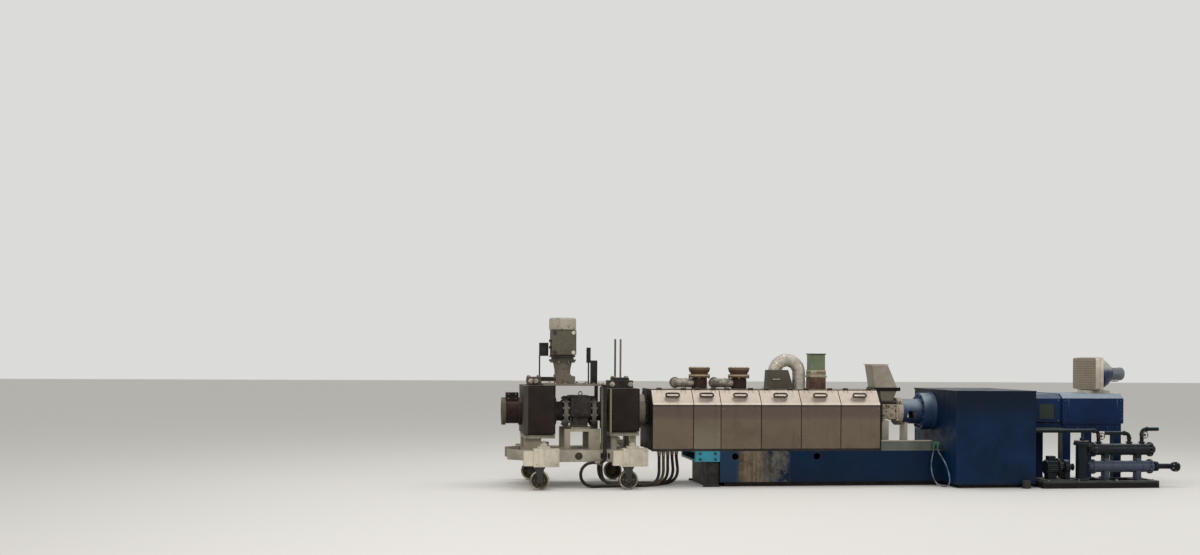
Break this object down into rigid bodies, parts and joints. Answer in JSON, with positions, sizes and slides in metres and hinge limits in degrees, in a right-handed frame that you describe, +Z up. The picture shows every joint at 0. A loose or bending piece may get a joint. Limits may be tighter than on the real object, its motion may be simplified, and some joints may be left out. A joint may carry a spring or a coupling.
{
  "type": "twin-screw plastic extruder",
  "caption": "Long plastic extruder: covered barrel on a welded bed, gearbox and motor at one end, melt pump and die head on a wheeled carriage at the other.",
  "frame": {"origin": "on the floor under the screw centreline, about halfway along the machine", "axes": "+X along the screws from the die to the main motor, +Y to the rear of the machine, +Z up"},
  "size_m": [8.497, 1.685, 2.076],
  "materials": {
    "steel_bright": "brushed",
    "steel_dull": "brushed",
    "blue_deep": "satin",
    "blue_bright": "satin",
    "cream": "satin",
    "brown_lagging": "matte",
    "iron_dark": "matte",
    "oil_green": "satin",
    "grey_green": "satin",
    "turquoise": "satin",
    "stuffer_green": "satin",
    "hose_rubber": "matte",
    "wheel_rubber": "matte"
  },
  "bodies": {
    "machine": {"bed_frame": "blue_deep", "bed_plinths": "iron_dark", "bed_channel": "grey_green", "bed_end_bracket": "turquoise", "cover_rails": "iron_dark", "front_panels": "steel_dull", "rear_panels": "steel_dull", "top_deck": "steel_dull", "end_panels": "steel_bright", "barrel_sections": "iron_dark", "barrel_pedestals": "cream", "vent_ports": "brown_lagging", "vent_ducts": "steel_bright", "fume_hood": "grey_green", "fume_duct": "steel_bright", "stuffer_housing": "brown_lagging", "stuffer_motor": "stuffer_green", "feed_barrel": "cream", "feed_funnel": "steel_dull", "feed_chute": "steel_bright", "drive_lantern": "blue_bright", "gearbox_housing": "blue_deep", "coupling_guard": "blue_deep", "main_motor": "blue_bright", "motor_frame": "blue_deep", "blower_box": "cream", "blower_fan": "blue_bright", "oil_skid": "oil_green", "oil_coolers": "oil_green", "oil_filter": "oil_green", "oil_pump": "oil_green", "oil_pipes": "grey_green", "die_head": "brown_lagging", "screen_changer": "brown_lagging", "melt_pump": "iron_dark", "starting_valve": "brown_lagging", "adapter_ring": "steel_dull", "pump_top_plate": "steel_dull", "pump_motor": "cream", "melt_supports": "cream", "carriage_frame": "cream", "carriage_boxes": "cream", "supply_hoses": "hose_rubber", "drain_hose": "grey_green", "melt_sensors": "iron_dark", "clamp_heads": "iron_dark", "hose_riser": "grey_green"},
    "lid_1": {"barrel_lid_1": "steel_bright"},
    "lid_2": {"barrel_lid_2": "steel_bright"},
    "lid_3": {"barrel_lid_3": "steel_bright"},
    "lid_4": {"barrel_lid_4": "steel_bright"},
    "lid_5": {"barrel_lid_5": "steel_bright"},
    "lid_6": {"barrel_lid_6": "steel_bright"},
    "wheel_1": {"carriage_wheel_1": "wheel_rubber"},
    "wheel_2": {"carriage_wheel_2": "wheel_rubber"},
    "wheel_3": {"carriage_wheel_3": "wheel_rubber"},
    "wheel_4": {"carriage_wheel_4": "wheel_rubber"}
  },
  "joints": [
    {"name": "lid_1_hinge", "type": "hinge", "parent": "machine", "child": "lid_1", "pos_m": [-2.135, -0.29, 1.21], "axis": [-1, 0, 0], "range_deg": [0, 145]},
    {"name": "lid_2_hinge", "type": "hinge", "parent": "machine", "child": "lid_2", "pos_m": [-1.7075, -0.29, 1.21], "axis": [-1, 0, 0], "range_deg": [0, 145]},
    {"name": "lid_3_hinge", "type": "hinge", "parent": "machine", "child": "lid_3", "pos_m": [-1.28, -0.29, 1.21], "axis": [-1, 0, 0], "range_deg": [0, 145]},
    {"name": "lid_4_hinge", "type": "hinge", "parent": "machine", "child": "lid_4", "pos_m": [-0.77, -0.29, 1.21], "axis": [-1, 0, 0], "range_deg": [0, 145]},
    {"name": "lid_5_hinge", "type": "hinge", "parent": "machine", "child": "lid_5", "pos_m": [-0.26, -0.29, 1.21], "axis": [-1, 0, 0], "range_deg": [0, 145]},
    {"name": "lid_6_hinge", "type": "hinge", "parent": "machine", "child": "lid_6", "pos_m": [0.25, -0.29, 1.21], "axis": [-1, 0, 0], "range_deg": [0, 145]},
    {"name": "wheel_1_spin", "type": "hinge", "parent": "machine", "child": "wheel_1", "pos_m": [-3.798, -0.65, 0.117], "axis": [0, 1, 0], "continuous": true},
    {"name": "wheel_2_spin", "type": "hinge", "parent": "machine", "child": "wheel_2", "pos_m": [-2.724, -0.65, 0.117], "axis": [0, 1, 0], "continuous": true},
    {"name": "wheel_3_spin", "type": "hinge", "parent": "machine", "child": "wheel_3", "pos_m": [-3.798, 0.65, 0.117], "axis": [0, 1, 0], "continuous": true},
    {"name": "wheel_4_spin", "type": "hinge", "parent": "machine", "child": "wheel_4", "pos_m": [-2.724, 0.65, 0.117], "axis": [0, 1, 0], "continuous": true}
  ]
}
